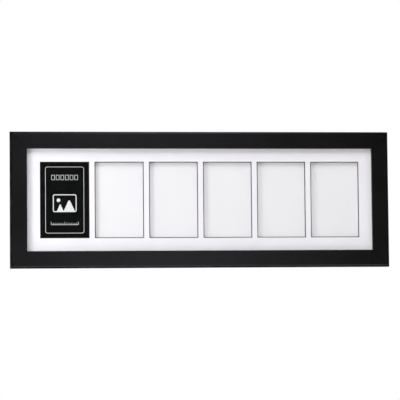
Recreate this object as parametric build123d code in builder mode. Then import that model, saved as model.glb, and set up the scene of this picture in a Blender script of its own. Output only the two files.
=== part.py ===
"""Collage picture frame: a mitred moulding round a glazed mat with a row of portrait windows.

Frame of the part: +X to the viewer's right, +Z up, +Y towards the wall. The origin lies on the wall,
midway between the two hangers, at the height of the notches that hang on the wall's nails.
"""

import math
import os

from build123d import *

INCH = 25.4

# The row of photographs
window_count = 6
photo_width = 4.0 * INCH
photo_height = 6.0 * INCH
side_lap = 0.25 * INCH  # the mat covers this much of a photograph's left and right edges
end_lap = 0.25 * INCH  # and this much of its top and bottom edges
mat_margin = 1.0 * INCH  # from the outer photographs to the edge of the mat

# The sheets in the rabbet
glass_thickness = 2.0
mat_thickness = 1.4
mat_bevel = 45.0
card_thickness = 0.25
spacer_thickness = 4.8
spacer_lap = 3.0  # the spacer holds this much of the outer photographs' edges against the mat
backing_thickness = 2.0
sheet_allowance = 1.2  # play between the sheets' edges and the rabbet wall

# The moulding
rail_face = 1.25 * INCH
rail_depth = 0.75 * INCH
lip_cover = 0.25 * INCH  # the lip covers this much of the sheets' edges
lip_thickness = 0.25 * INCH
outer_round = 4.0
sight_round = 1.0
back_round = 0.8
mitre_ease = 0.3

# V-nails across the mitres, flush with the back
v_nail_leg = 6.0
v_nail_thickness = 0.7
v_nail_depth = 10.0
v_nail_inset = 3.5  # from the rabbet wall to the inner nail, and from the outer nail to the outer face

# Flexible points
points_per_rail = 4
point_inset = 82.7  # from the sheets' left and right edges to the nearest point above and below them
point_width = 9.0
point_reach = 10.0
point_thickness = 0.5
point_corner = 2.5
point_shoulder = 2.5  # the root keeps its full width this far into the wood
point_root = 6.5
point_gap = 0.05  # between the blade's bend and the rabbet wall

# Sawtooth hangers and their nails
hanger_spacing = 16.0 * INCH
hanger_length = 46.0
hanger_height = 11.0
hanger_thickness = 0.9
hanger_lift = 2.0  # room for a wall nail behind the raised bar
hanger_setback = 6.0  # from the frame's top edge to the hanger's
hanger_ear = 9.0
hanger_ramp = 3.0
hanger_bend = 1.2
hanger_corner = 2.5
tooth_count = 7
tooth_pitch = 3.0
tooth_depth = 2.0
tooth_land = 0.5
nail_diameter = 1.4
nail_clearance = 0.05
nail_length = 12.0
nail_head_diameter = 3.6
nail_head_height = 0.7

# Bumpers
bumper_diameter = 10.0
bumper_ease = 0.8
bumper_stand_off = 0.1  # the bumpers reach this much nearer the wall than the hangers
bumper_inset = 12.0  # from the frame's side to the bumper's centre

# The sheets, the sight opening and the outside follow from the photographs
sheet_width = window_count * photo_width + 2 * mat_margin
sheet_height = photo_height + 2 * mat_margin
sight_width = sheet_width - 2 * lip_cover
sight_height = sheet_height - 2 * lip_cover
outer_width = sight_width + 2 * rail_face
outer_height = sight_height + 2 * rail_face
rabbet_width = lip_cover + sheet_allowance
rail_land = rail_face - rabbet_width  # the flat back of the moulding

# Depths, from the wall forwards
bumper_thickness = hanger_lift + hanger_thickness + bumper_stand_off
back_y = -bumper_thickness
face_y = back_y - rail_depth
glass_y = face_y + lip_thickness
mat_y = glass_y + glass_thickness
card_y = mat_y + mat_thickness
spacer_y = card_y + card_thickness
backing_y = spacer_y + spacer_thickness
point_y = backing_y + backing_thickness

# Heights, from the hanging notches
top_z = hanger_setback + hanger_height - tooth_depth
centre_z = top_z - outer_height / 2
bottom_z = top_z - outer_height


def upright(y):
    """Plane at depth y, seen from the front: x to the right, y up, and extrusions come forwards."""
    return Plane((0, y, centre_z), x_dir=(1, 0, 0), z_dir=(0, -1, 0))


def write(piece, name):
    """Label a finished piece and write it out."""
    piece.part.label = name
    export_step(piece.part, f"parts/{name}.step")


os.makedirs("parts", exist_ok=True)

# Each side of the frame: the way out from its middle, half of the sight opening
# that it bounds, half of its own sight edge, and where its flexible points sit along it
point_spacing = (sheet_width - 2 * point_inset) / (points_per_rail - 1)
point_row = [(i - (points_per_rail - 1) / 2) * point_spacing for i in range(points_per_rail)]
SIDES = {
    "top": (Vector(0, 0, 1), sight_height / 2, sight_width / 2, point_row),
    "bottom": (Vector(0, 0, -1), sight_height / 2, sight_width / 2, point_row),
    "left": (Vector(-1, 0, 0), sight_width / 2, sight_height / 2, [0.0]),
    "right": (Vector(1, 0, 0), sight_width / 2, sight_height / 2, [0.0]),
}
RAIL_NAMES = {"top": "top_rail", "bottom": "bottom_rail", "left": "left_stile", "right": "right_stile"}
BACKWARDS = Vector(0, 1, 0)


def along(outward):
    """Direction in which a side's moulding runs: to the right, or up."""
    return Vector(abs(outward.Z), 0, abs(outward.X))


def at_side(outward, half_opening, out, run, y):
    """Point on a side: a distance out from its sight edge, a distance along it, and a depth."""
    return Vector(0, y, centre_z) + outward * (half_opening + out) + along(outward) * run


# Flexible points: a root driven into the rabbet wall, and a blade that lies on the backing.
# The strip bends along a line one thickness in from the wall, on the side away from the backing.
point_places = {}
for side, (outward, half_opening, _, row) in SIDES.items():
    for number, run in enumerate(row, start=1):
        name = f"flex_point_{side}" + (f"_{number}" if len(row) > 1 else "")
        point_places[name] = (outward, at_side(outward, half_opening, rabbet_width, run, point_y))

with BuildPart() as flex_point_roots:
    for outward, foot in point_places.values():
        with BuildSketch(Plane(foot, x_dir=outward, z_dir=BACKWARDS)):
            with BuildLine():
                Polyline(
                    (0, -point_width / 2),
                    (point_shoulder, -point_width / 2),
                    (point_root, 0),
                    (point_shoulder, point_width / 2),
                    (0, point_width / 2),
                    close=True,
                )
            make_face()
        extrude(amount=point_thickness)
write(flex_point_roots, "flex_point_roots")

bend = point_gap + point_thickness  # from the wall to the bend line
for name, (outward, foot) in point_places.items():
    section = Plane(foot, x_dir=-outward, z_dir=(-outward).cross(BACKWARDS))
    with BuildPart() as blade:
        with BuildSketch(section):
            with BuildLine():
                CenterArc((bend, point_thickness), point_thickness, 180, 90)
                Polyline(
                    (bend, 0),
                    (point_reach, 0),
                    (point_reach, point_thickness),
                    (point_gap, point_thickness),
                )
            make_face()
        extrude(amount=point_width / 2, both=True)
        fillet(blade.edges().filter_by(Axis.Y), point_corner)
    write(blade, name)

# V-nails: an L of thin steel across each mitre, near its inner and outer ends
v_nail_first = rabbet_width + v_nail_inset
v_nail_second = rail_face - v_nail_inset - v_nail_leg
with BuildPart() as corner_v_nails:
    with BuildSketch(upright(back_y)):
        for side_x in (-1, 1):
            for side_z in (-1, 1):
                for out in (v_nail_first, v_nail_second):
                    corner = Vector(side_x * (sight_width / 2 + out), side_z * (sight_height / 2 + out))
                    with BuildLine():
                        legs = [
                            (0, 0),
                            (v_nail_leg, 0),
                            (v_nail_leg, v_nail_thickness),
                            (v_nail_thickness, v_nail_thickness),
                            (v_nail_thickness, v_nail_leg),
                            (0, v_nail_leg),
                        ]
                        Polyline([corner + Vector(side_x * x, side_z * z) for x, z in legs], close=True)
                    make_face()
    extrude(amount=v_nail_depth)
write(corner_v_nails, "corner_v_nails")

# Nails through the hangers' ears into the top rail
nail_reach = hanger_length / 2 - hanger_ear / 2
hanger_middle_z = top_z - hanger_setback - hanger_height / 2
nail_places = [
    (hanger_x + nail_x, back_y, hanger_middle_z)
    for hanger_x in (-hanger_spacing / 2, hanger_spacing / 2)
    for nail_x in (-nail_reach, nail_reach)
]
dome_radius = (nail_head_diameter**2 / 4 + nail_head_height**2) / (2 * nail_head_height)
with BuildPart() as nail:
    with BuildSketch():
        with BuildLine():
            Polyline(
                (0, hanger_thickness + nail_head_height),
                (0, -nail_length),
                (nail_diameter / 2, nail_diameter - nail_length),
                (nail_diameter / 2, hanger_thickness),
                (nail_head_diameter / 2, hanger_thickness),
            )
            RadiusArc(
                (nail_head_diameter / 2, hanger_thickness),
                (0, hanger_thickness + nail_head_height),
                -dome_radius,
            )
        make_face()
    revolve(axis=Axis.Y)
with BuildPart() as hanger_nails:
    with Locations(*nail_places):
        add(nail.part)
write(hanger_nails, "hanger_nails")

# Moulding: one section, run along each side, mitred at both ends
for side, (outward, half_opening, half_run, _) in SIDES.items():
    run = along(outward)
    section = Plane(
        at_side(outward, half_opening, 0, 0, face_y), x_dir=outward, z_dir=outward.cross(BACKWARDS)
    )
    with BuildPart() as rail:
        with BuildSketch(section) as moulding:
            with BuildLine():
                Polyline(
                    (0, 0),
                    (rail_face, 0),
                    (rail_face, rail_depth),
                    (rabbet_width, rail_depth),
                    (rabbet_width, lip_thickness),
                    (0, lip_thickness),
                    close=True,
                )
            make_face()
            fillet(moulding.vertices().sort_by_distance((0, 0))[0], sight_round)
            fillet(moulding.vertices().sort_by_distance((rail_face, 0))[0], outer_round)
            fillet(moulding.vertices().sort_by_distance((rail_face, rail_depth))[0], back_round)
        extrude(amount=half_run + rail_face, both=True)
        for end in (-1, 1):
            inwards = (outward - run * end).normalized()
            mitre = at_side(outward, half_opening, 0, end * half_run, face_y)
            split(bisect_by=Plane(mitre, x_dir=BACKWARDS, z_dir=inwards))
            split(bisect_by=Plane(mitre + inwards * mitre_ease, z_dir=inwards + BACKWARDS))
        add(flex_point_roots.part, mode=Mode.SUBTRACT)
        add(corner_v_nails.part, mode=Mode.SUBTRACT)
        if side == "top":
            with Locations(*[Plane(place, x_dir=(1, 0, 0), z_dir=(0, 1, 0)) for place in nail_places]):
                Hole(nail_diameter / 2 + nail_clearance, nail_length)
    write(rail, RAIL_NAMES[side])

# Glass, against the lip
with BuildPart() as glass_pane:
    with BuildSketch(upright(mat_y)):
        Rectangle(sheet_width, sheet_height)
    extrude(amount=glass_thickness)
write(glass_pane, "glass_pane")

# Mat, with windows that are wider at its face than at its back
bevel_width = mat_thickness * math.tan(math.radians(mat_bevel))
window_width = photo_width - 2 * side_lap
window_height = photo_height - 2 * end_lap
with BuildPart() as mat_board:
    with BuildSketch(upright(card_y)):
        Rectangle(sheet_width, sheet_height)
    extrude(amount=mat_thickness)
    with Locations((0, mat_y, centre_z)):
        with GridLocations(photo_width, 0, window_count, 1):
            Wedge(
                window_width + 2 * bevel_width,
                mat_thickness,
                window_height + 2 * bevel_width,
                bevel_width,
                bevel_width,
                window_width + bevel_width,
                window_height + bevel_width,
                align=(Align.CENTER, Align.MIN, Align.CENTER),
                mode=Mode.SUBTRACT,
            )
write(mat_board, "mat_board")

# Insert card, behind the first window
with BuildPart() as insert_card:
    with BuildSketch(upright(spacer_y)):
        with Locations((-(window_count - 1) / 2 * photo_width, 0)):
            Rectangle(photo_width, photo_height)
    extrude(amount=card_thickness)
write(insert_card, "insert_card")

# Spacer round the row of photographs, which keeps the backing clear of the windows
with BuildPart() as spacer_frame:
    with BuildSketch(upright(backing_y)):
        Rectangle(sheet_width, sheet_height)
        Rectangle(
            window_count * photo_width - 2 * spacer_lap,
            photo_height - 2 * spacer_lap,
            mode=Mode.SUBTRACT,
        )
    extrude(amount=spacer_thickness)
write(spacer_frame, "spacer_frame")

# Backing board
with BuildPart() as backing_board:
    with BuildSketch(upright(point_y)):
        Rectangle(sheet_width, sheet_height)
    extrude(amount=backing_thickness)
write(backing_board, "backing_board")

# Sawtooth hangers: a strip with two ears on the wood, and a raised bar with teeth along its lower edge
bar_half = hanger_length / 2 - hanger_ear - hanger_ramp
notch_half = (tooth_pitch - tooth_land) / 2
for name, hanger_x in (("hanger_left", -hanger_spacing / 2), ("hanger_right", hanger_spacing / 2)):
    foot = (hanger_x, back_y, top_z - hanger_setback - hanger_height)
    with BuildPart() as hanger:
        with BuildSketch(Plane(foot)):
            with BuildLine():
                FilletPolyline(
                    (-hanger_length / 2, 0),
                    (-bar_half - hanger_ramp, 0),
                    (-bar_half, hanger_lift),
                    (bar_half, hanger_lift),
                    (bar_half + hanger_ramp, 0),
                    (hanger_length / 2, 0),
                    radius=hanger_bend,
                )
                offset(amount=hanger_thickness, side=Side.LEFT)
            make_face()
        extrude(amount=hanger_height)
        ends = hanger.edges().filter_by(Axis.Y).group_by(Axis.X)
        fillet(ends[0] + ends[-1], hanger_corner)
        with BuildSketch(Plane(foot, x_dir=(1, 0, 0), z_dir=(0, -1, 0))):
            with GridLocations(tooth_pitch, 0, tooth_count, 1):
                Polygon((-notch_half, 0), (notch_half, 0), (0, tooth_depth))
        extrude(amount=hanger_lift + hanger_thickness, both=True, mode=Mode.SUBTRACT)
        with Locations(*[Plane(place, x_dir=(1, 0, 0), z_dir=(0, 1, 0)) for place in nail_places]):
            Hole(nail_diameter / 2 + nail_clearance, hanger_thickness)
    write(hanger, name)

# Bumpers, on the back of the bottom rail
for name, side_x in (("bumper_left", -1), ("bumper_right", 1)):
    bumper_x = side_x * (outer_width / 2 - bumper_inset)
    with BuildPart() as bumper:
        with BuildSketch(Plane((bumper_x, 0, bottom_z + rail_land / 2), x_dir=(1, 0, 0), z_dir=(0, -1, 0))):
            Circle(bumper_diameter / 2)
        extrude(amount=bumper_thickness)
        chamfer(bumper.edges().sort_by(Axis.Y)[-1], bumper_ease)
    write(bumper, name)
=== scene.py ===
"""Looks of the collage photo frame: finishes for its pieces, the insert card's print, light and camera.

Sizes are in metres, in the part's own frame: +X to the viewer's right, +Z up and +Y towards the wall.
"""

import logging
import math
from collections.abc import Callable, Iterable, Sequence
from dataclasses import dataclass
from enum import Enum

import bpy
from mathutils import Matrix, Vector

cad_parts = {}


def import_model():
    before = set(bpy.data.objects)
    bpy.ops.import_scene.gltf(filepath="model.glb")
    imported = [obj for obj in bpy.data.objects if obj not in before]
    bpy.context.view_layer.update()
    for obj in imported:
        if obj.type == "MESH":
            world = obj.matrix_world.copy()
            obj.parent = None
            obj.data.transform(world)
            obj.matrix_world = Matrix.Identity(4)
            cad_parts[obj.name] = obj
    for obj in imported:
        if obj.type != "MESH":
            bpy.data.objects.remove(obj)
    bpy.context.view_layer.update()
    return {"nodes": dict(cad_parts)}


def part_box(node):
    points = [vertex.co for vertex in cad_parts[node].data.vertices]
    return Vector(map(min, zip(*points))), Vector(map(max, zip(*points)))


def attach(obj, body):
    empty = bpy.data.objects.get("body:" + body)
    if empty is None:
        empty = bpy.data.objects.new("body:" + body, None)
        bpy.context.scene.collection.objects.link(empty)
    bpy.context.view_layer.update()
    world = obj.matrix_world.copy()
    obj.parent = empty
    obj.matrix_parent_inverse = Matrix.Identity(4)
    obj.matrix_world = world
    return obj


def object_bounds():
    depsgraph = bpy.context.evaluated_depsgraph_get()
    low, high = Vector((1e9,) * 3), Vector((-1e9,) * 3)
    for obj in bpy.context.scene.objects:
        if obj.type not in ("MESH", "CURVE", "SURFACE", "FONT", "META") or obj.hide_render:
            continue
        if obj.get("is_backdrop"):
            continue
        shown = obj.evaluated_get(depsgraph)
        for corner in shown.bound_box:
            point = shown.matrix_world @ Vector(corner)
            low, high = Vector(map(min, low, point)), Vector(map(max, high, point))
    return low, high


LOG = logging.getLogger("collage_frame")
MM = 0.001

Colour = tuple[float, float, float]
Socket = bpy.types.NodeSocket
Stops = Sequence[tuple[float, Colour]]

LAMP_WHITE: Colour = (0.975, 0.968, 1.0)
BLACK: Colour = (0.0, 0.0, 0.0)
TO_VIEWER = (math.pi / 2, 0.0, 0.0)
LEVEL = (0.0, 0.0, 0.0)


class Run(Enum):
    """The way that a length of moulding runs, and its grain with it."""

    ACROSS = "across"
    UPRIGHT = "upright"


class NodeGraph:
    """The node tree of one material, with short calls for the nodes that the finishes share."""

    def __init__(self, name: str) -> None:
        """Start a material that holds one Principled shader and its coordinates.

        Args:
            name: What the material is called.
        """
        self.material = bpy.data.materials.new(name)
        self.material.use_nodes = True
        self.nodes = self.material.node_tree.nodes
        self.links = self.material.node_tree.links
        self.nodes.clear()
        self.shader = self.nodes.new("ShaderNodeBsdfPrincipled")
        self.output = self.nodes.new("ShaderNodeOutputMaterial")
        self.links.new(self.shader.outputs["BSDF"], self.output.inputs["Surface"])
        self.place = self.nodes.new("ShaderNodeTexCoord").outputs["Object"]
        self.facing = self.nodes.new("ShaderNodeNewGeometry").outputs["Normal"]

    def constant(self, **values: float | Colour) -> None:
        """Set shader sockets that are the same all over.

        Args:
            values: Each socket's number or colour, by its name with underscores for spaces.
        """
        for name, value in values.items():
            socket = self.shader.inputs[name.replace("_", " ")]
            socket.default_value = (*value, 1.0) if isinstance(value, tuple) else value

    def feed(self, name: str, source: Socket) -> None:
        """Link a source to one of the shader's sockets."""
        self.links.new(source, self.shader.inputs[name])

    def plug(self, target: Socket, value: Socket | float | Colour) -> None:
        """Link a source to a socket, or set the socket to a value.

        Args:
            target: The socket that takes the value.
            value: A source socket, a number or a colour.
        """
        if isinstance(value, bpy.types.NodeSocket):
            self.links.new(value, target)
        else:
            target.default_value = (*value, 1.0) if isinstance(value, tuple) else value

    def stretched(self, scale: Colour) -> Socket:
        """Object coordinates scaled along each axis.

        Args:
            scale: Pattern repeats per metre along X, Y and Z.

        Returns:
            The scaled coordinates.
        """
        mapping = self.nodes.new("ShaderNodeMapping")
        mapping.inputs["Scale"].default_value = scale
        self.links.new(self.place, mapping.inputs["Vector"])
        return mapping.outputs["Vector"]

    def axes(self, vector: Socket) -> tuple[Socket, Socket, Socket]:
        """Split a vector into its three parts.

        Args:
            vector: The vector.

        Returns:
            Its X, Y and Z.
        """
        parts = self.nodes.new("ShaderNodeSeparateXYZ")
        self.links.new(vector, parts.inputs["Vector"])
        return tuple(parts.outputs)

    def noise(self, where: Socket, scale: float, detail: float = 2.0, waver: float = 0.0) -> Socket:
        """Soft random pattern.

        Args:
            where: Coordinates that it follows.
            scale: Features per unit of those coordinates.
            detail: Finer layers on top of the first.
            waver: How far the pattern is pulled out of shape.

        Returns:
            The pattern, from 0 to 1.
        """
        texture = self.nodes.new("ShaderNodeTexNoise")
        texture.inputs["Scale"].default_value = scale
        texture.inputs["Detail"].default_value = detail
        texture.inputs["Distortion"].default_value = waver
        self.links.new(where, texture.inputs["Vector"])
        return texture.outputs["Fac"]

    def bands(self, where: Socket, scale: float, waver: float) -> Socket:
        """Regular soft bands along X.

        Args:
            where: Coordinates that they follow.
            scale: Blender's band scale, in which a band is about 0.314 units wide at 1.
            waver: How far the bands are pulled out of line.

        Returns:
            The pattern, from 0 to 1.
        """
        texture = self.nodes.new("ShaderNodeTexWave")
        texture.inputs["Scale"].default_value = scale
        texture.inputs["Distortion"].default_value = waver
        self.links.new(where, texture.inputs["Vector"])
        return texture.outputs["Fac"]

    def ramp(self, amount: Socket, stops: Stops) -> Socket:
        """Colours along a scale from 0 to 1.

        Args:
            amount: Where on the scale.
            stops: Places on the scale, with the colour at each.

        Returns:
            The colour there.
        """
        node = self.nodes.new("ShaderNodeValToRGB")
        points = node.color_ramp.elements
        while len(points) < len(stops):
            points.new(0.5)
        for point, (position, colour) in zip(points, stops):
            point.position = position
            point.color = (*colour, 1.0)
        self.links.new(amount, node.inputs["Fac"])
        return node.outputs["Color"]

    def fit(self, amount: Socket, source: tuple[float, float], result: tuple[float, float]) -> Socket:
        """Carry one range over to another, held at its ends.

        Args:
            amount: The value to carry over.
            source: The range that it comes from.
            result: The range that it goes to.

        Returns:
            The value in its new range.
        """
        node = self.nodes.new("ShaderNodeMapRange")
        self.links.new(amount, node.inputs["Value"])
        for name, value in zip(("From Min", "From Max", "To Min", "To Max"), (*source, *result)):
            node.inputs[name].default_value = value
        return node.outputs["Result"]

    def calc(self, operation: str, first: Socket | float, second: Socket | float = 0.0) -> Socket:
        """One step of arithmetic.

        Args:
            operation: Blender's name for it, such as MULTIPLY.
            first: The first value.
            second: The second value, where it has one.

        Returns:
            The result.
        """
        node = self.nodes.new("ShaderNodeMath")
        node.operation = operation
        self.plug(node.inputs[0], first)
        self.plug(node.inputs[1], second)
        return node.outputs["Value"]

    def blend(self, amount: Socket, first: Socket | Colour, second: Socket | Colour) -> Socket:
        """Mix of two colours.

        Args:
            amount: The share of the second colour.
            first: The colour at 0.
            second: The colour at 1.

        Returns:
            The mixed colour.
        """
        node = self.nodes.new("ShaderNodeMix")
        node.data_type = "RGBA"
        self.links.new(amount, node.inputs["Factor"])
        colours = [s for s in node.inputs if s.type == "RGBA"]
        self.plug(colours[0], first)
        self.plug(colours[1], second)
        return next(s for s in node.outputs if s.type == "RGBA")

    def relief(
        self, height: Socket, depth: float, strength: float = 1.0, under: Socket | None = None
    ) -> None:
        """Bump on the shader's normal.

        Args:
            height: The pattern that stands up, from 0 to 1.
            depth: How high it stands, in metres.
            strength: Share of the bump that shows.
            under: Another pattern beneath it, at the same depth.
        """
        bump = self.nodes.new("ShaderNodeBump")
        bump.inputs["Strength"].default_value = strength
        bump.inputs["Distance"].default_value = depth
        self.links.new(height, bump.inputs["Height"])
        if under is not None:
            lower = self.nodes.new("ShaderNodeBump")
            lower.inputs["Strength"].default_value = strength
            lower.inputs["Distance"].default_value = depth
            self.links.new(under, lower.inputs["Height"])
            self.links.new(lower.outputs["Normal"], bump.inputs["Normal"])
        self.feed("Normal", bump.outputs["Normal"])

    def surround(self, fade: tuple[float, float]) -> None:
        """Let the surface turn to plain white away from the middle, and to nothing when seen from behind.

        Args:
            fade: The distances from the middle at which the white starts and is full.
        """
        distance = self.nodes.new("ShaderNodeVectorMath")
        distance.operation = "LENGTH"
        self.links.new(self.place, distance.inputs[0])
        path = self.nodes.new("ShaderNodeLightPath").outputs
        seen = self.calc("MAXIMUM", path["Is Camera Ray"], path["Is Glossy Ray"])
        seen = self.calc("MAXIMUM", seen, path["Is Transmission Ray"])
        share = self.calc("MULTIPLY", seen, self.fit(distance.outputs["Value"], fade, (0.0, 1.0)))
        behind = self.nodes.new("ShaderNodeNewGeometry").outputs["Backfacing"]
        surface = self.shader.outputs["BSDF"]
        for amount, kind in ((share, "ShaderNodeEmission"), (behind, "ShaderNodeBsdfTransparent")):
            mix = self.nodes.new("ShaderNodeMixShader")
            self.links.new(amount, mix.inputs["Fac"])
            self.links.new(surface, mix.inputs[1])
            self.links.new(self.nodes.new(kind).outputs[0], mix.inputs[2])
            surface = mix.outputs["Shader"]
        self.links.new(surface, self.output.inputs["Surface"])


@dataclass(frozen=True)
class Outline:
    """Edges of the moulding that its paint follows."""

    half_width: float
    half_height: float
    centre_z: float
    face_y: float
    glass_y: float
    rabbet: float

    def inset(self, graph: NodeGraph) -> Socket:
        """Distance in from the frame's nearest outer side.

        Args:
            graph: The material's nodes.

        Returns:
            The distance, in metres.
        """
        x, _, z = graph.axes(graph.place)
        from_side = graph.calc("SUBTRACT", self.half_width, graph.calc("ABSOLUTE", x))
        height = graph.calc("ABSOLUTE", graph.calc("SUBTRACT", z, self.centre_z))
        from_end = graph.calc("SUBTRACT", self.half_height, height)
        return graph.calc("MINIMUM", from_side, from_end)


@dataclass(frozen=True)
class SatinPaint:
    """Black satin paint over the front and sides of a moulding whose back and rabbet stay bare wood."""

    run: Run
    outline: Outline
    black: Colour = (0.0031, 0.0031, 0.0029)
    thin_black: Colour = (0.0045, 0.0045, 0.0043)
    worn_black: Colour = (0.020, 0.020, 0.021)
    pale_wood: Colour = (0.60, 0.43, 0.25)
    dark_wood: Colour = (0.42, 0.27, 0.135)
    light_wood: Colour = (0.66, 0.49, 0.30)
    overspray: float = 2.6 * MM
    ragged: float = 2.2 * MM
    rabbet_slack: tuple[float, float] = (0.2 * MM, 0.3 * MM)
    roughness: tuple[float, float] = (0.21, 0.23)
    wood_roughness: float = 0.72
    wear_reach: tuple[float, float] = (2.3 * MM, 3.6 * MM)
    wear_scale: float = 45.0
    wear_polish: float = 0.08
    grain_along: float = 7.0
    grain_across: float = 190.0
    drift_scale: float = 14.0
    mist_scale: float = 60.0
    skin_scale: float = 1100.0

    def material(self) -> bpy.types.Material:
        """Build the paint's nodes.

        Returns:
            The finished material.
        """
        graph = NodeGraph(f"black_satin_paint_{self.run.value}")
        along, crosswise = self.grain_along, self.grain_across
        if self.run is Run.ACROSS:
            grain_place = graph.stretched((along, crosswise, crosswise))
        else:
            grain_place = graph.stretched((crosswise, crosswise, along))
        grain = graph.noise(grain_place, 1.0, detail=5.0, waver=0.5)
        pores = graph.noise(grain_place, 5.0, detail=3.0)
        bare = self.bare_wood(graph)
        worn = self.worn_edge(graph)
        drift = graph.noise(graph.place, self.drift_scale, detail=3.0)
        coat = graph.ramp(drift, ((0.3, self.black), (0.7, self.thin_black)))
        black = graph.blend(worn, coat, self.worn_black)
        tones = ((0.32, self.dark_wood), (0.55, self.pale_wood), (0.75, self.light_wood))
        timber = graph.ramp(grain, tones)
        wood = graph.blend(graph.fit(pores, (0.45, 0.75), (0.0, 0.6)), timber, self.dark_wood)
        graph.feed("Base Color", graph.blend(bare, black, wood))
        gloss = graph.fit(drift, (0.3, 0.7), self.roughness)
        polished = graph.calc("SUBTRACT", gloss, graph.calc("MULTIPLY", worn, self.wear_polish))
        sawn = graph.calc("MULTIPLY", bare, self.wood_roughness)
        graph.feed("Roughness", graph.calc("MAXIMUM", polished, sawn))
        graph.constant(Specular_IOR_Level=0.5)
        skin = graph.noise(graph.place, self.skin_scale, detail=1.0)
        graph.relief(skin, 0.02 * MM, 0.25, under=grain)
        return graph.material

    def bare_wood(self, graph: NodeGraph) -> Socket:
        """Where no paint reached: the back, up to a ragged edge of overspray, and the rabbet.

        Args:
            graph: The material's nodes.

        Returns:
            1 on bare wood and 0 on paint.
        """
        inset = self.outline.inset(graph)
        _, depth, _ = graph.axes(graph.place)
        _, backwards, _ = graph.axes(graph.facing)
        mist = graph.calc("MULTIPLY", graph.noise(graph.place, self.mist_scale, detail=4.0), self.ragged)
        clear = graph.calc("SUBTRACT", inset, mist)
        back = graph.calc(
            "MULTIPLY",
            graph.fit(backwards, (0.5, 0.8), (0.0, 1.0)),
            graph.fit(clear, (self.overspray - self.ragged / 2, self.overspray), (0.0, 1.0)),
        )
        in_rabbet = graph.calc(
            "MULTIPLY",
            graph.calc("GREATER_THAN", depth, self.outline.glass_y - self.rabbet_slack[0]),
            graph.calc("GREATER_THAN", inset, self.outline.rabbet - self.rabbet_slack[1]),
        )
        return graph.calc("MAXIMUM", back, in_rabbet)

    def worn_edge(self, graph: NodeGraph) -> Socket:
        """Where handling has rubbed the paint along the front's outer edge.

        Args:
            graph: The material's nodes.

        Returns:
            1 where it is rubbed most and 0 where it isn't.
        """
        _, depth, _ = graph.axes(graph.place)
        behind_face = graph.calc("SUBTRACT", depth, self.outline.face_y)
        corner = graph.calc("ADD", self.outline.inset(graph), behind_face)
        near = graph.fit(corner, self.wear_reach, (1.0, 0.0))
        rubbed = graph.noise(graph.place, self.wear_scale, detail=4.0)
        patchy = graph.fit(rubbed, (0.42, 0.66), (0.0, 1.0))
        return graph.calc("MULTIPLY", near, patchy)


@dataclass(frozen=True)
class MatPaper:
    """White mat board with a paper face, and a dark core where its windows are cut."""

    face: Colour = (0.884, 0.881, 0.920)
    shade: Colour = (0.866, 0.863, 0.902)
    core: Colour = (0.050, 0.012, 0.010)
    core_shade: Colour = (0.034, 0.008, 0.007)
    cut_slope: float = math.sqrt(0.5)
    cut_spread: float = 0.2
    fibre_scale: float = 1500.0
    mottle_scale: float = 35.0

    def material(self) -> bpy.types.Material:
        """Build the mat's nodes.

        Returns:
            The finished material.
        """
        graph = NodeGraph("white_mat_paper")
        _, facing, _ = graph.axes(graph.facing)
        slope = graph.calc("SUBTRACT", graph.calc("ABSOLUTE", facing), self.cut_slope)
        cut = graph.calc("LESS_THAN", graph.calc("ABSOLUTE", slope), self.cut_spread)
        fibre = graph.noise(graph.place, self.fibre_scale, detail=3.0)
        mottle = graph.noise(graph.place, self.mottle_scale, detail=4.0)
        face = graph.ramp(mottle, ((0.3, self.shade), (0.7, self.face)))
        core = graph.ramp(fibre, ((0.3, self.core_shade), (0.7, self.core)))
        graph.feed("Base Color", graph.blend(cut, face, core))
        graph.feed("Roughness", graph.fit(fibre, (0.3, 0.7), (0.82, 0.95)))
        graph.constant(Specular_IOR_Level=0.25)
        graph.relief(fibre, 0.03 * MM, 0.35)
        return graph.material


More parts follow.
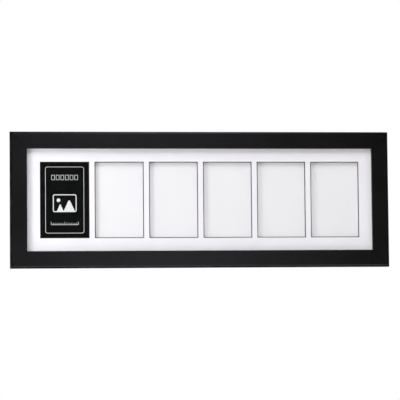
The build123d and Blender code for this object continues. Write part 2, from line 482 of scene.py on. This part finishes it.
@dataclass(frozen=True)
class BackingBoard:
    """Corrugated board, lined with white paper in front and brown paper behind."""

    white: Colour = (0.892, 0.889, 0.908)
    white_shade: Colour = (0.876, 0.873, 0.892)
    kraft: Colour = (0.44, 0.295, 0.165)
    kraft_pale: Colour = (0.485, 0.335, 0.196)
    kraft_shade: Colour = (0.385, 0.252, 0.137)
    bark: Colour = (0.17, 0.10, 0.05)
    fibre_scale: Colour = (420.0, 420.0, 1500.0)
    fleck_scale: Colour = (260.0, 260.0, 900.0)
    mottle_scale: float = 30.0
    flute_scale: float = 45.0
    flute_waver: float = 0.15
    flute_rise: float = 2.5

    def material(self) -> bpy.types.Material:
        """Build the board's nodes.

        Returns:
            The finished material.
        """
        graph = NodeGraph("lined_corrugated_board")
        _, backwards, _ = graph.axes(graph.facing)
        rear = graph.calc("GREATER_THAN", backwards, -0.5)
        fibre = graph.noise(graph.stretched(self.fibre_scale), 1.0, detail=5.0, waver=0.6)
        mottle = graph.noise(graph.place, self.mottle_scale, detail=5.0)
        white = graph.ramp(mottle, ((0.3, self.white_shade), (0.7, self.white)))
        flutes = graph.bands(graph.place, self.flute_scale, self.flute_waver)
        brown = self.brown_liner(graph, fibre, mottle, flutes)
        graph.feed("Base Color", graph.blend(rear, white, brown))
        graph.feed("Roughness", graph.fit(fibre, (0.3, 0.7), (0.78, 0.92)))
        graph.constant(Specular_IOR_Level=0.25)
        ridges = graph.calc("MULTIPLY", flutes, graph.calc("MULTIPLY", rear, self.flute_rise))
        graph.relief(fibre, 0.02 * MM, 0.2, under=ridges)
        return graph.material

    def brown_liner(self, graph: NodeGraph, fibre: Socket, mottle: Socket, flutes: Socket) -> Socket:
        """Brown paper: long fibres, dark flecks of bark, and the flutes showing faintly through.

        Args:
            graph: The material's nodes.
            fibre: The paper's fibres, from 0 to 1.
            mottle: Its slow unevenness, from 0 to 1.
            flutes: The ridges of the board beneath, from 0 to 1.

        Returns:
            The liner's colour.
        """
        paper = graph.ramp(fibre, ((0.36, self.kraft_shade), (0.5, self.kraft), (0.66, self.kraft_pale)))
        ridge_tone = graph.fit(flutes, (0.0, 1.0), (0.0, 0.2))
        tone = graph.calc("ADD", ridge_tone, graph.fit(mottle, (0.35, 0.7), (0.0, 0.3)))
        fleck = graph.noise(graph.stretched(self.fleck_scale), 1.0, detail=2.0)
        paper = graph.blend(tone, paper, self.kraft_shade)
        return graph.blend(graph.fit(fleck, (0.70, 0.76), (0.0, 0.75)), paper, self.bark)


@dataclass(frozen=True)
class FoamBoard:
    """White foam board: smooth paper faces, and fine open cells along the cut edges."""

    paper: Colour = (0.85, 0.85, 0.85)
    cells: Colour = (0.78, 0.78, 0.77)
    cell_shade: Colour = (0.66, 0.66, 0.65)
    cell_scale: float = 2600.0
    fibre_scale: float = 900.0

    def material(self) -> bpy.types.Material:
        """Build the foam board's nodes.

        Returns:
            The finished material.
        """
        graph = NodeGraph("white_foam_board")
        _, facing, _ = graph.axes(graph.facing)
        edge = graph.calc("LESS_THAN", graph.calc("ABSOLUTE", facing), 0.5)
        bubbles = graph.noise(graph.place, self.cell_scale, detail=2.0)
        fibre = graph.noise(graph.place, self.fibre_scale, detail=3.0)
        face = graph.ramp(fibre, ((0.3, self.cells), (0.6, self.paper)))
        foam = graph.ramp(bubbles, ((0.3, self.cell_shade), (0.6, self.cells)))
        graph.feed("Base Color", graph.blend(edge, face, foam))
        graph.feed("Roughness", graph.fit(bubbles, (0.3, 0.7), (0.7, 0.9)))
        graph.relief(bubbles, 0.05 * MM, 0.4)
        return graph.material


@dataclass(frozen=True)
class BlackCard:
    """Card with a solid black print on coated paper."""

    black: Colour = (0.0024, 0.0031, 0.0031)
    thin_black: Colour = (0.0040, 0.0048, 0.0048)
    fibre_scale: float = 1900.0
    mottle_scale: float = 120.0
    gloss: float = 0.11

    def material(self) -> bpy.types.Material:
        """Build the card's nodes.

        Returns:
            The finished material.
        """
        graph = NodeGraph("black_printed_card")
        fibre = graph.noise(graph.place, self.fibre_scale, detail=3.0)
        mottle = graph.noise(graph.place, self.mottle_scale, detail=3.0)
        graph.feed("Base Color", graph.ramp(mottle, ((0.35, self.black), (0.7, self.thin_black))))
        graph.feed("Roughness", graph.fit(fibre, (0.3, 0.7), (0.42, 0.56)))
        graph.constant(Specular_IOR_Level=self.gloss)
        graph.relief(fibre, 0.015 * MM, 0.25)
        return graph.material


@dataclass(frozen=True)
class WhiteInk:
    """White ink on the card, a little uneven where it dried."""

    white: Colour = (0.80, 0.80, 0.79)
    thin_white: Colour = (0.66, 0.66, 0.65)
    speckle_scale: float = 1700.0

    def material(self) -> bpy.types.Material:
        """Build the ink's nodes.

        Returns:
            The finished material.
        """
        graph = NodeGraph("white_ink")
        speckle = graph.noise(graph.place, self.speckle_scale, detail=3.0)
        graph.feed("Base Color", graph.ramp(speckle, ((0.28, self.thin_white), (0.5, self.white))))
        graph.feed("Roughness", graph.fit(speckle, (0.3, 0.7), (0.5, 0.65)))
        graph.relief(speckle, 0.01 * MM, 0.2)
        return graph.material


@dataclass(frozen=True)
class FloatGlass:
    """Clear float glass with the faintest green, and a breath of haze."""

    tint: Colour = (0.992, 1.0, 0.996)
    haze: tuple[float, float] = (0.0, 0.03)
    cloud_scale: float = 9.0

    def material(self) -> bpy.types.Material:
        """Build the glass's nodes.

        Returns:
            The finished material.
        """
        graph = NodeGraph("clear_float_glass")
        graph.constant(Base_Color=self.tint, Transmission_Weight=1.0, IOR=1.5)
        cloud = graph.noise(graph.place, self.cloud_scale, detail=4.0)
        graph.feed("Roughness", graph.fit(cloud, (0.5, 0.8), self.haze))
        return graph.material


@dataclass(frozen=True)
class PlatedSteel:
    """Thin plating over pressed steel, with drawn lines and dull patches."""

    name: str
    bright: Colour
    dull: Colour
    roughness: tuple[float, float]
    drawn: Colour = (40.0, 900.0, 900.0)
    patch_scale: float = 70.0

    def material(self) -> bpy.types.Material:
        """Build the plating's nodes.

        Returns:
            The finished material.
        """
        graph = NodeGraph(self.name)
        lines = graph.noise(graph.stretched(self.drawn), 1.0, detail=4.0)
        patches = graph.noise(graph.place, self.patch_scale, detail=2.0)
        graph.feed("Base Color", graph.ramp(patches, ((0.25, self.dull), (0.6, self.bright))))
        rough = graph.fit(patches, (0.35, 0.7), (self.roughness[1], self.roughness[0]))
        graph.feed("Roughness", graph.calc("ADD", rough, graph.fit(lines, (0.3, 0.7), (-0.05, 0.05))))
        graph.constant(Metallic=1.0)
        graph.relief(lines, 0.01 * MM, 0.35)
        return graph.material


class Plating(Enum):
    """The plated steels of the fixings."""

    NAIL = PlatedSteel("bright_nail_steel", (0.50, 0.50, 0.51), (0.34, 0.34, 0.35), (0.30, 0.48))
    ZINC = PlatedSteel("zinc_plated_steel", (0.62, 0.63, 0.65), (0.42, 0.43, 0.45), (0.26, 0.46))
    BRASS = PlatedSteel("brass_plated_steel", (0.80, 0.60, 0.27), (0.68, 0.49, 0.20), (0.22, 0.34))


@dataclass(frozen=True)
class MouldedRubber:
    """Soft black rubber with a fine moulded grain and a bloom of dust."""

    black: Colour = (0.012, 0.012, 0.012)
    bloom: Colour = (0.034, 0.034, 0.033)
    grain_scale: float = 2200.0
    dust_scale: float = 300.0

    def material(self) -> bpy.types.Material:
        """Build the rubber's nodes.

        Returns:
            The finished material.
        """
        graph = NodeGraph("moulded_black_rubber")
        grain = graph.noise(graph.place, self.grain_scale, detail=2.0)
        dust = graph.noise(graph.place, self.dust_scale, detail=5.0)
        graph.feed("Base Color", graph.ramp(dust, ((0.4, self.black), (0.75, self.bloom))))
        graph.feed("Roughness", graph.fit(grain, (0.3, 0.7), (0.62, 0.82)))
        graph.relief(grain, 0.04 * MM, 0.5)
        return graph.material


def dress(node: str, finish: bpy.types.Material) -> None:
    """Give a CAD node its finish in every material slot.

    Args:
        node: The node's name.
        finish: The material that it gets.
    """
    piece = bpy.data.objects[node]
    if not piece.data.materials:
        piece.data.materials.append(finish)
    for index in range(len(piece.data.materials)):
        piece.data.materials[index] = finish
    LOG.info("%s: %s", node, finish.name)


@dataclass
class Moulding:
    """The four lengths of mitred moulding and the V-nails across their corners."""

    across: tuple[str, str] = ("top_rail", "bottom_rail")
    upright: tuple[str, str] = ("left_stile", "right_stile")
    nails: str = "corner_v_nails"
    glass: str = "glass_pane"
    rabbet: float = 24.2 * MM

    def outline(self) -> Outline:
        """Measure the edges that the paint follows.

        Returns:
            The outline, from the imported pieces.
        """
        low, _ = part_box(self.across[1])
        _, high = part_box(self.across[0])
        glass_low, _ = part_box(self.glass)
        return Outline(
            half_width=high.x,
            half_height=(high.z - low.z) / 2,
            centre_z=(high.z + low.z) / 2,
            face_y=low.y,
            glass_y=glass_low.y,
            rabbet=self.rabbet,
        )

    def dress(self) -> None:
        """Paint the moulding and plate the nails."""
        outline = self.outline()
        for nodes, run in ((self.across, Run.ACROSS), (self.upright, Run.UPRIGHT)):
            paint = SatinPaint(run, outline).material()
            for node in nodes:
                dress(node, paint)
        dress(self.nails, Plating.NAIL.value.material())


@dataclass
class Sheets:
    """What lies in the rabbet: glass, mat, insert card, spacer and backing board."""

    glass: str = "glass_pane"
    mat: str = "mat_board"
    card: str = "insert_card"
    spacer: str = "spacer_frame"
    backing: str = "backing_board"

    def dress(self) -> None:
        """Give each sheet its finish, and let light through the glass."""
        dress(self.glass, FloatGlass().material())
        dress(self.mat, MatPaper().material())
        dress(self.card, BlackCard().material())
        dress(self.spacer, FoamBoard().material())
        dress(self.backing, BackingBoard().material())
        pane = bpy.data.objects[self.glass]
        pane.visible_shadow = False
        pane.visible_diffuse = False


@dataclass
class Fixings:
    """Flexible points, sawtooth hangers with their nails, and wall bumpers."""

    point_prefix: str = "flex_point"
    hangers: tuple[str, str] = ("hanger_left", "hanger_right")
    hanger_nails: str = "hanger_nails"
    bumpers: tuple[str, str] = ("bumper_left", "bumper_right")

    def dress(self, nodes: Iterable[str]) -> None:
        """Give each fixing its finish.

        Args:
            nodes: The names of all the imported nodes.
        """
        zinc = Plating.ZINC.value.material()
        for node in sorted(nodes):
            if node.startswith(self.point_prefix):
                dress(node, zinc)
        brass = Plating.BRASS.value.material()
        for node in (*self.hangers, self.hanger_nails):
            dress(node, brass)
        rubber = MouldedRubber().material()
        for node in self.bumpers:
            dress(node, rubber)


class Ink:
    """Edit-mode steps that turn one flat face into a thin printed shape."""

    @staticmethod
    def start(name: str, add: Callable[[], object]) -> bpy.types.Object:
        """Add a primitive by itself and open it for editing.

        Args:
            name: What the new object is called.
            add: Adds the primitive.

        Returns:
            The new object, in edit mode with all of it selected.
        """
        bpy.ops.object.select_all(action="DESELECT")
        add()
        shape = bpy.context.active_object
        shape.name = name
        bpy.ops.object.mode_set(mode="EDIT")
        bpy.ops.mesh.select_mode(type="FACE")
        bpy.ops.mesh.select_all(action="SELECT")
        return shape

    @staticmethod
    def open_middle(line: float) -> None:
        """Leave only a line of the given width along the face's edge.

        Args:
            line: The width of the line, in metres.
        """
        bpy.ops.mesh.inset(thickness=line)
        bpy.ops.mesh.delete(type="FACE")
        bpy.ops.mesh.select_all(action="SELECT")

    @staticmethod
    def finish(shape: bpy.types.Object, thickness: float) -> bpy.types.Object:
        """Raise the flat shape to the ink's thickness and leave edit mode.

        Args:
            shape: The object being edited, its face towards the viewer.
            thickness: How far the ink stands off the card.

        Returns:
            The finished shape, with its place in its mesh.
        """
        bpy.ops.object.mode_set(mode="OBJECT")
        bpy.ops.object.transform_apply(location=True, rotation=True, scale=True)
        wall = shape.modifiers.new("ink", "SOLIDIFY")
        wall.thickness = thickness
        wall.offset = 1.0
        bpy.ops.object.modifier_apply(modifier=wall.name)
        return shape


@dataclass
class CardPrint:
    """Plain white design on the insert card: a border, a row of windows, a picture sign and a scale."""

    card: str = "insert_card"
    body: str = "frame"
    slot: str = "white_mat"
    ink: float = 0.04 * MM
    border: tuple[float, float] = (72.0 * MM, 124.0 * MM)
    border_line: float = 0.8 * MM
    border_corner: float = 4.0 * MM
    sign: tuple[float, float] = (44.0 * MM, 33.0 * MM)
    sign_line: float = 1.7 * MM
    sign_corner: float = 3.5 * MM
    sign_drop: float = 6.0 * MM
    sun_radius: float = 3.4 * MM
    sun_sides: int = 40
    sun_place: tuple[float, float] = (-0.26, 0.17)
    hills: tuple[tuple[float, float, float], ...] = ((0.19, 0.24, 0.60), (-0.19, 0.14, 0.38))
    hill_top: float = 0.12
    corner_steps: int = 6
    bar_rounding: float = 0.35
    pane: tuple[float, float] = (6.2 * MM, 9.3 * MM)
    pane_line: float = 0.7 * MM
    pane_pitch: float = 8.6 * MM
    pane_count: int = 6
    pane_rise: float = 42.0 * MM
    tick: tuple[float, float] = (0.7 * MM, 3.2 * MM)
    tick_pitch: float = 4.2 * MM
    tick_count: int = 13
    tick_drop: float = 46.0 * MM
    long_tick: float = 1.6
    long_every: int = 6

    def build(self) -> bpy.types.Object:
        """Model the print and lay it on the card.

        Returns:
            The print, as one piece.
        """
        low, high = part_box(self.card)
        middle = Vector(((low.x + high.x) / 2, low.y, (low.z + high.z) / 2))
        sign_middle = middle - Vector((0.0, 0.0, self.sign_drop))
        sun_x, sun_z = (share * size for share, size in zip(self.sun_place, self.sign))
        shapes = [
            self.outline("border", self.border, middle, self.border_line, self.border_corner),
            self.outline("sign", self.sign, sign_middle, self.sign_line, self.sign_corner),
            self.sun(sign_middle + Vector((sun_x, 0.0, sun_z))),
            *(self.hill(sign_middle, *shares) for shares in self.hills),
        ]
        for index in range(self.pane_count):
            shift = (index - (self.pane_count - 1) / 2) * self.pane_pitch
            centre = middle + Vector((shift, 0.0, self.pane_rise))
            shapes.append(self.outline(f"pane_{index}", self.pane, centre, self.pane_line, 0.0))
        for index in range(self.tick_count):
            shift = (index - (self.tick_count - 1) / 2) * self.tick_pitch
            length = self.tick[1] * (self.long_tick if index % self.long_every == 0 else 1.0)
            centre = middle + Vector((shift, 0.0, (length + self.tick[0]) / 2 - self.tick_drop))
            shapes.append(self.bar(f"tick_{index}", (self.tick[0], length), centre))
        rule = (self.tick_pitch * (self.tick_count - 1) + self.tick[0], self.tick[0])
        shapes.append(self.bar("rule", rule, middle - Vector((0.0, 0.0, self.tick_drop))))
        return self.join(shapes)

    @staticmethod
    def add_face(size: tuple[float, float], centre: Vector) -> Callable[[], object]:
        """A rectangle that faces the viewer.

        Args:
            size: Its width and height.
            centre: Its middle.

        Returns:
            A call that adds it.
        """
        def add() -> None:
            """Add the rectangle at its size and place."""
            bpy.ops.mesh.primitive_plane_add(size=1.0, location=centre, rotation=TO_VIEWER)
            bpy.context.active_object.scale = (*size, 1.0)
            bpy.ops.object.transform_apply(location=False, rotation=False, scale=True)
        return add

    def outline(
        self, name: str, size: tuple[float, float], centre: Vector, line: float, corner: float
    ) -> bpy.types.Object:
        """A line round a rectangle, with rounded corners if they have a radius.

        Args:
            name: What the shape is called.
            size: The rectangle's width and height.
            centre: Its middle.
            line: The line's width.
            corner: The corners' radius.

        Returns:
            The finished shape.
        """
        shape = Ink.start(name, self.add_face(size, centre))
        if corner:
            bpy.ops.mesh.bevel(offset=corner, segments=self.corner_steps, affect="VERTICES")
            bpy.ops.mesh.select_all(action="SELECT")
        Ink.open_middle(line)
        return Ink.finish(shape, self.ink)

    def bar(self, name: str, size: tuple[float, float], centre: Vector) -> bpy.types.Object:
        """A solid bar with rounded ends.

        Args:
            name: What the shape is called.
            size: Its width and height.
            centre: Its middle.

        Returns:
            The finished shape.
        """
        shape = Ink.start(name, self.add_face(size, centre))
        bpy.ops.mesh.bevel(offset=min(size) * self.bar_rounding, segments=2, affect="VERTICES")
        return Ink.finish(shape, self.ink)

    def sun(self, centre: Vector) -> bpy.types.Object:
        """The disc in the picture sign.

        Args:
            centre: Its middle.

        Returns:
            The finished shape.
        """
        def add() -> None:
            """Add the disc at its size and place."""
            bpy.ops.mesh.primitive_circle_add(
                vertices=self.sun_sides, radius=self.sun_radius, fill_type="NGON", location=centre,
                rotation=TO_VIEWER,
            )
        shape = Ink.start("sun", add)
        return Ink.finish(shape, self.ink)

    def hill(self, sign_middle: Vector, shift: float, half: float, rise: float) -> bpy.types.Object:
        """One hill in the picture sign, a triangle with a blunt top on the sign's lower line.

        Args:
            sign_middle: The middle of the sign.
            shift: The hill's middle, as a share of the sign's width.
            half: Half of its base, as a share of the sign's width.
            rise: Its height, as a share of the sign's height.

        Returns:
            The finished shape.
        """
        width, height = self.sign
        base = sign_middle.z - height / 2 + self.sign_line
        size = (2 * half * width, rise * height)
        centre = Vector((sign_middle.x + shift * width, sign_middle.y, base + size[1] / 2))
        shape = Ink.start("hill", self.add_face(size, centre))
        bpy.ops.mesh.select_mode(type="VERT")
        bpy.ops.mesh.select_all(action="DESELECT")
        bpy.ops.object.mode_set(mode="OBJECT")
        for vertex in shape.data.vertices:
            vertex.select = vertex.co.y > 0
        bpy.ops.object.mode_set(mode="EDIT")
        bpy.ops.transform.resize(value=(self.hill_top, 1.0, 1.0))
        bpy.ops.mesh.select_all(action="SELECT")
        return Ink.finish(shape, self.ink)

    def join(self, shapes: Sequence[bpy.types.Object]) -> bpy.types.Object:
        """Join the shapes into one piece that rides on the frame.

        Args:
            shapes: The finished shapes.

        Returns:
            The joined piece, dressed in white ink.
        """
        bpy.ops.object.select_all(action="DESELECT")
        for shape in shapes:
            shape.select_set(True)
        bpy.context.view_layer.objects.active = shapes[0]
        bpy.ops.object.join()
        piece = bpy.context.active_object
        piece.name = "card_print"
        piece.data.materials.append(WhiteInk().material())
        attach(piece, self.body)
        LOG.info("card_print: %d faces", len(piece.data.polygons))
        return piece


@dataclass(frozen=True)
class SoftBox:
    """A square studio lamp with a soft edge to its shadows."""

    name: str
    offset: Vector
    size: float
    power: float
    colour: Colour = (1.0, 1.0, 1.0)
    polarised: bool = False

    def hang(self, target: Vector) -> None:
        """Add the lamp and turn it towards its target. A polarised one leaves no glare on gloss or glass.

        Args:
            target: The point that it lights, from which its offset is measured.
        """
        data = bpy.data.lights.new(self.name, "AREA")
        data.shape = "SQUARE"
        data.size = self.size
        data.energy = self.power
        data.color = self.colour
        lamp = bpy.data.objects.new(self.name, data)
        lamp.location = target + self.offset
        lamp.rotation_euler = (-self.offset).to_track_quat("-Z", "Y").to_euler()
        lamp.visible_camera = False
        lamp.visible_glossy = not self.polarised
        lamp.visible_transmission = not self.polarised
        bpy.context.scene.collection.objects.link(lamp)


@dataclass(frozen=True)
class PhotoCamera:
    """The camera at the photograph's viewing angle: a little to the left of the frame and below it."""

    position: Vector
    yaw: float
    pitch: float
    roll: float
    lens: float
    reach: float = 60.0

    def place(self) -> None:
        """Add the camera and make it the scene's own."""
        data = bpy.data.cameras.new("photo_camera")
        data.lens = self.lens
        data.clip_end = self.reach
        camera = bpy.data.objects.new("photo_camera", data)
        yaw, pitch, roll = (math.radians(angle) for angle in (self.yaw, self.pitch, self.roll))
        flat = math.cos(pitch)
        ahead = Vector((math.sin(yaw) * flat, math.cos(yaw) * flat, math.sin(pitch)))
        level = Vector((math.cos(yaw), -math.sin(yaw), 0.0))
        upward = level.cross(ahead)
        right = math.cos(roll) * level + math.sin(roll) * upward
        up = math.cos(roll) * upward - math.sin(roll) * level
        turn = Matrix((right, up, -ahead)).transposed()
        camera.matrix_world = Matrix.Translation(self.position) @ turn.to_4x4()
        bpy.context.scene.collection.objects.link(camera)
        bpy.context.scene.camera = camera


@dataclass
class Studio:
    """Pale floor, white surroundings, screens that only gloss and glass see, lamps and camera."""

    floor_drop: float = 0.75
    floor_size: float = 24.0
    floor_colour: tuple[Colour, Colour] = ((0.82, 0.82, 0.82), (0.85, 0.85, 0.85))
    floor_scale: float = 0.8
    floor_fade: tuple[float, float] = (1.2, 5.0)
    tent_low: Vector = Vector((-4.0, -7.0, -1.15))
    tent_high: Vector = Vector((4.0, 3.0, 3.5))
    tent_glow: tuple[float, float] = (1.58, 0.0)
    tent_colour: Colour = (0.95, 0.97, 1.12)
    tent_bright_x: float = 0.36
    tent_reach: tuple[float, float] = (0.1, 0.6)
    cloth: tuple[Colour, Colour] = ((0.008, 0.008, 0.008), (0.012, 0.012, 0.012))
    weave_scale: float = 40.0
    card_centre: Vector = Vector((0.72, -6.5, 0.34))
    card_size: tuple[float, float] = (2.15, 0.84)
    flag_back: float = 0.30
    flag_opening: tuple[float, float] = (0.76, 0.29)
    flag_width: float = 1.1
    under_drop: float = 0.30
    under_reach: tuple[float, float] = (-0.21, 0.32)
    under_length: float = 3.0
    low_centre: Vector = Vector((0.74, -6.4, -0.15))
    low_size: tuple[float, float] = (0.6, 0.36)
    low_glow: tuple[float, float] = (2.4, 0.0)
    low_fade: tuple[float, float] = (0.1, 0.5)
    ambient: float = 0.36
    ambient_colour: Colour = (1.0, 0.965, 0.93)
    lamps: tuple[SoftBox, ...] = (
        SoftBox("top_lamp", Vector((-0.6, -3.8, 4.9)), 3.3, 246.0, LAMP_WHITE, polarised=True),
        SoftBox("left_lamp", Vector((-1.29, -0.76, 0.0)), 0.48, 10.2, LAMP_WHITE, polarised=True),
        SoftBox("back_lamp", Vector((0.9, 2.2, 1.2)), 1.4, 30.0),
    )
    camera: PhotoCamera = PhotoCamera(
        position=Vector((-0.442, -4.0, -0.386)), yaw=6.311, pitch=3.901, roll=-0.534, lens=193.41
    )

    def build(self) -> None:
        """Set up everything round the object."""
        low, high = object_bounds()
        middle = (low + high) / 2
        self.world()
        self.floor(low.z - self.floor_drop)
        self.tent()
        self.lens_card()
        self.edge_flag(middle)
        self.under_flag(low.z - self.under_drop)
        self.low_card()
        for lamp in self.lamps:
            lamp.hang(middle)
        self.camera.place()
        bpy.context.scene.view_settings.view_transform = "Standard"

    def world(self) -> None:
        """White to the camera, gloss and glass, and a softer level for the light it gives."""
        world = bpy.data.worlds.new("white_studio")
        world.use_nodes = True
        bpy.context.scene.world = world
        nodes, links = world.node_tree.nodes, world.node_tree.links
        nodes.clear()
        path = nodes.new("ShaderNodeLightPath")
        seen = path.outputs["Is Camera Ray"]
        for name in ("Is Glossy Ray", "Is Transmission Ray"):
            either = nodes.new("ShaderNodeMath")
            either.operation = "MAXIMUM"
            links.new(seen, either.inputs[0])
            links.new(path.outputs[name], either.inputs[1])
            seen = either.outputs["Value"]
        light, white = (nodes.new("ShaderNodeBackground") for _ in range(2))
        light.inputs["Strength"].default_value = self.ambient
        light.inputs["Color"].default_value = (*self.ambient_colour, 1.0)
        white.inputs["Color"].default_value = (1.0, 1.0, 1.0, 1.0)
        mix = nodes.new("ShaderNodeMixShader")
        output = nodes.new("ShaderNodeOutputWorld")
        links.new(seen, mix.inputs["Fac"])
        links.new(light.outputs["Background"], mix.inputs[1])
        links.new(white.outputs["Background"], mix.inputs[2])
        links.new(mix.outputs["Shader"], output.inputs["Surface"])

    def floor(self, height: float) -> None:
        """Lay the floor, which takes shadows near the frame and fades to the white surroundings.

        Args:
            height: The floor's Z.
        """
        bpy.ops.object.select_all(action="DESELECT")
        bpy.ops.mesh.primitive_plane_add(size=self.floor_size, location=(0.0, 0.0, height))
        floor = bpy.context.active_object
        floor.name = "floor"
        graph = NodeGraph("pale_floor")
        drift = graph.noise(graph.place, self.floor_scale, detail=3.0)
        graph.feed("Base Color", graph.ramp(drift, tuple(zip((0.2, 0.8), self.floor_colour))))
        graph.constant(Roughness=0.9, Specular_IOR_Level=0.1)
        graph.surround(self.floor_fade)
        floor.data.materials.append(graph.material)
        floor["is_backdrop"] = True

    def tent(self) -> None:
        """Stand a tent round the set, open below and behind, with one upright band that glows."""
        bpy.ops.object.select_all(action="DESELECT")
        bpy.ops.mesh.primitive_cube_add(size=1.0, location=(self.tent_low + self.tent_high) / 2)
        tent = bpy.context.active_object
        tent.name = "glow_tent"
        tent.scale = self.tent_high - self.tent_low
        bpy.ops.object.transform_apply(location=True, rotation=True, scale=True)
        for face in tent.data.polygons:
            face.select = face.normal.z < -0.5 or face.normal.y > 0.5
        bpy.ops.object.mode_set(mode="EDIT")
        bpy.ops.mesh.select_mode(type="FACE")
        bpy.ops.mesh.delete(type="FACE")
        bpy.ops.object.mode_set(mode="OBJECT")
        cloth = self.glowing_cloth("tent_cloth", self.tent_bright_x, self.tent_reach, self.tent_glow)
        tent.data.materials.append(cloth)
        self.only_in_gloss(tent)

    def lens_card(self) -> None:
        """Hold up a dark card round the lens, which keeps the tent's glow out of the glass."""
        self.hold_up("lens_card", self.card_centre, self.card_size, self.dark_cloth("lens_card_cloth"))

    def edge_flag(self, middle: Vector) -> None:
        """Hang a dark flag with a wide opening behind the frame, which keeps glare off its outer edges.

        Args:
            middle: The middle of the frame.
        """
        width, height = (size + 2 * self.flag_width for size in self.flag_opening)
        bpy.ops.object.select_all(action="DESELECT")
        place = (middle.x, self.flag_back, middle.z)
        bpy.ops.mesh.primitive_plane_add(size=1.0, location=place, rotation=TO_VIEWER)
        flag = bpy.context.active_object
        flag.name = "edge_flag"
        flag.scale = (width, height, 1.0)
        bpy.ops.object.transform_apply(location=True, rotation=True, scale=True)
        bpy.ops.object.mode_set(mode="EDIT")
        bpy.ops.mesh.select_mode(type="FACE")
        bpy.ops.mesh.select_all(action="SELECT")
        bpy.ops.mesh.inset(thickness=self.flag_width)
        bpy.ops.mesh.delete(type="FACE")
        bpy.ops.object.mode_set(mode="OBJECT")
        flag.data.materials.append(self.dark_cloth("edge_flag_cloth"))
        self.only_in_gloss(flag)

    def under_flag(self, height: float) -> None:
        """Lay a dark flag below the frame, which leaves a dark line under the bottom edge's highlight.

        Args:
            height: The flag's Z.
        """
        front, back = self.under_reach
        centre = Vector((0.0, (front + back) / 2, height))
        size = (self.under_length, back - front)
        self.hold_up("under_flag", centre, size, self.dark_cloth("under_flag_cloth"), LEVEL)

    def low_card(self) -> None:
        """Hold a glowing card below the lens, which lights the middle of the bottom rail."""
        cloth = self.glowing_cloth("low_card_cloth", 0.0, self.low_fade, self.low_glow)
        self.hold_up("low_card", self.low_centre, self.low_size, cloth)

    def hold_up(
        self,
        name: str,
        centre: Vector,
        size: tuple[float, float],
        cloth: bpy.types.Material,
        turn: tuple[float, float, float] = TO_VIEWER,
    ) -> None:
        """Put up a flat screen that only gloss and glass see.

        Args:
            name: What the screen is called.
            centre: Its middle.
            size: Its width and height.
            cloth: What it is made of.
            turn: Its angles about X, Y and Z.
        """
        bpy.ops.object.select_all(action="DESELECT")
        bpy.ops.mesh.primitive_plane_add(size=1.0, location=centre, rotation=turn)
        screen = bpy.context.active_object
        screen.name = name
        screen.scale = (*size, 1.0)
        screen.data.materials.append(cloth)
        self.only_in_gloss(screen)

    def glowing_cloth(
        self, name: str, bright_x: float, reach: tuple[float, float], glow: tuple[float, float]
    ) -> bpy.types.Material:
        """Black cloth with an upright band that glows.

        Args:
            name: What the material is called.
            bright_x: Where the band's middle is across the piece.
            reach: How far from its middle the band begins to fade, and where it has faded.
            glow: The strength in the band and beyond it.

        Returns:
            The finished material.
        """
        graph = NodeGraph(name)
        across, _, _ = graph.axes(graph.place)
        aside = graph.calc("ABSOLUTE", graph.calc("SUBTRACT", across, bright_x))
        graph.constant(Base_Color=BLACK, Specular_IOR_Level=0.0, Emission_Color=self.tent_colour)
        graph.feed("Emission Strength", graph.fit(aside, reach, glow))
        return graph.material

    def dark_cloth(self, name: str) -> bpy.types.Material:
        """The cloth on the lens card and the flags.

        Args:
            name: What the material is called.

        Returns:
            The finished material.
        """
        graph = NodeGraph(name)
        weave = graph.noise(graph.place, self.weave_scale, detail=2.0)
        graph.feed("Base Color", graph.ramp(weave, ((0.3, self.cloth[0]), (0.7, self.cloth[1]))))
        graph.constant(Roughness=0.95, Specular_IOR_Level=0.0)
        return graph.material

    @staticmethod
    def only_in_gloss(screen: bpy.types.Object) -> None:
        """Keep a screen out of everything but gloss and glass, and mark it as part of the stage.

        Args:
            screen: The tent, a card or a flag.
        """
        screen.visible_camera = False
        screen.visible_diffuse = False
        screen.visible_volume_scatter = False
        screen.visible_shadow = False
        screen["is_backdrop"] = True


def main() -> None:
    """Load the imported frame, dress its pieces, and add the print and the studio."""
    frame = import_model()
    Moulding().dress()
    Sheets().dress()
    Fixings().dress(frame["nodes"])
    CardPrint().build()
    Studio().build()


if __name__ == "__main__":
    logging.basicConfig(level=logging.INFO, format="%(message)s")
    main()
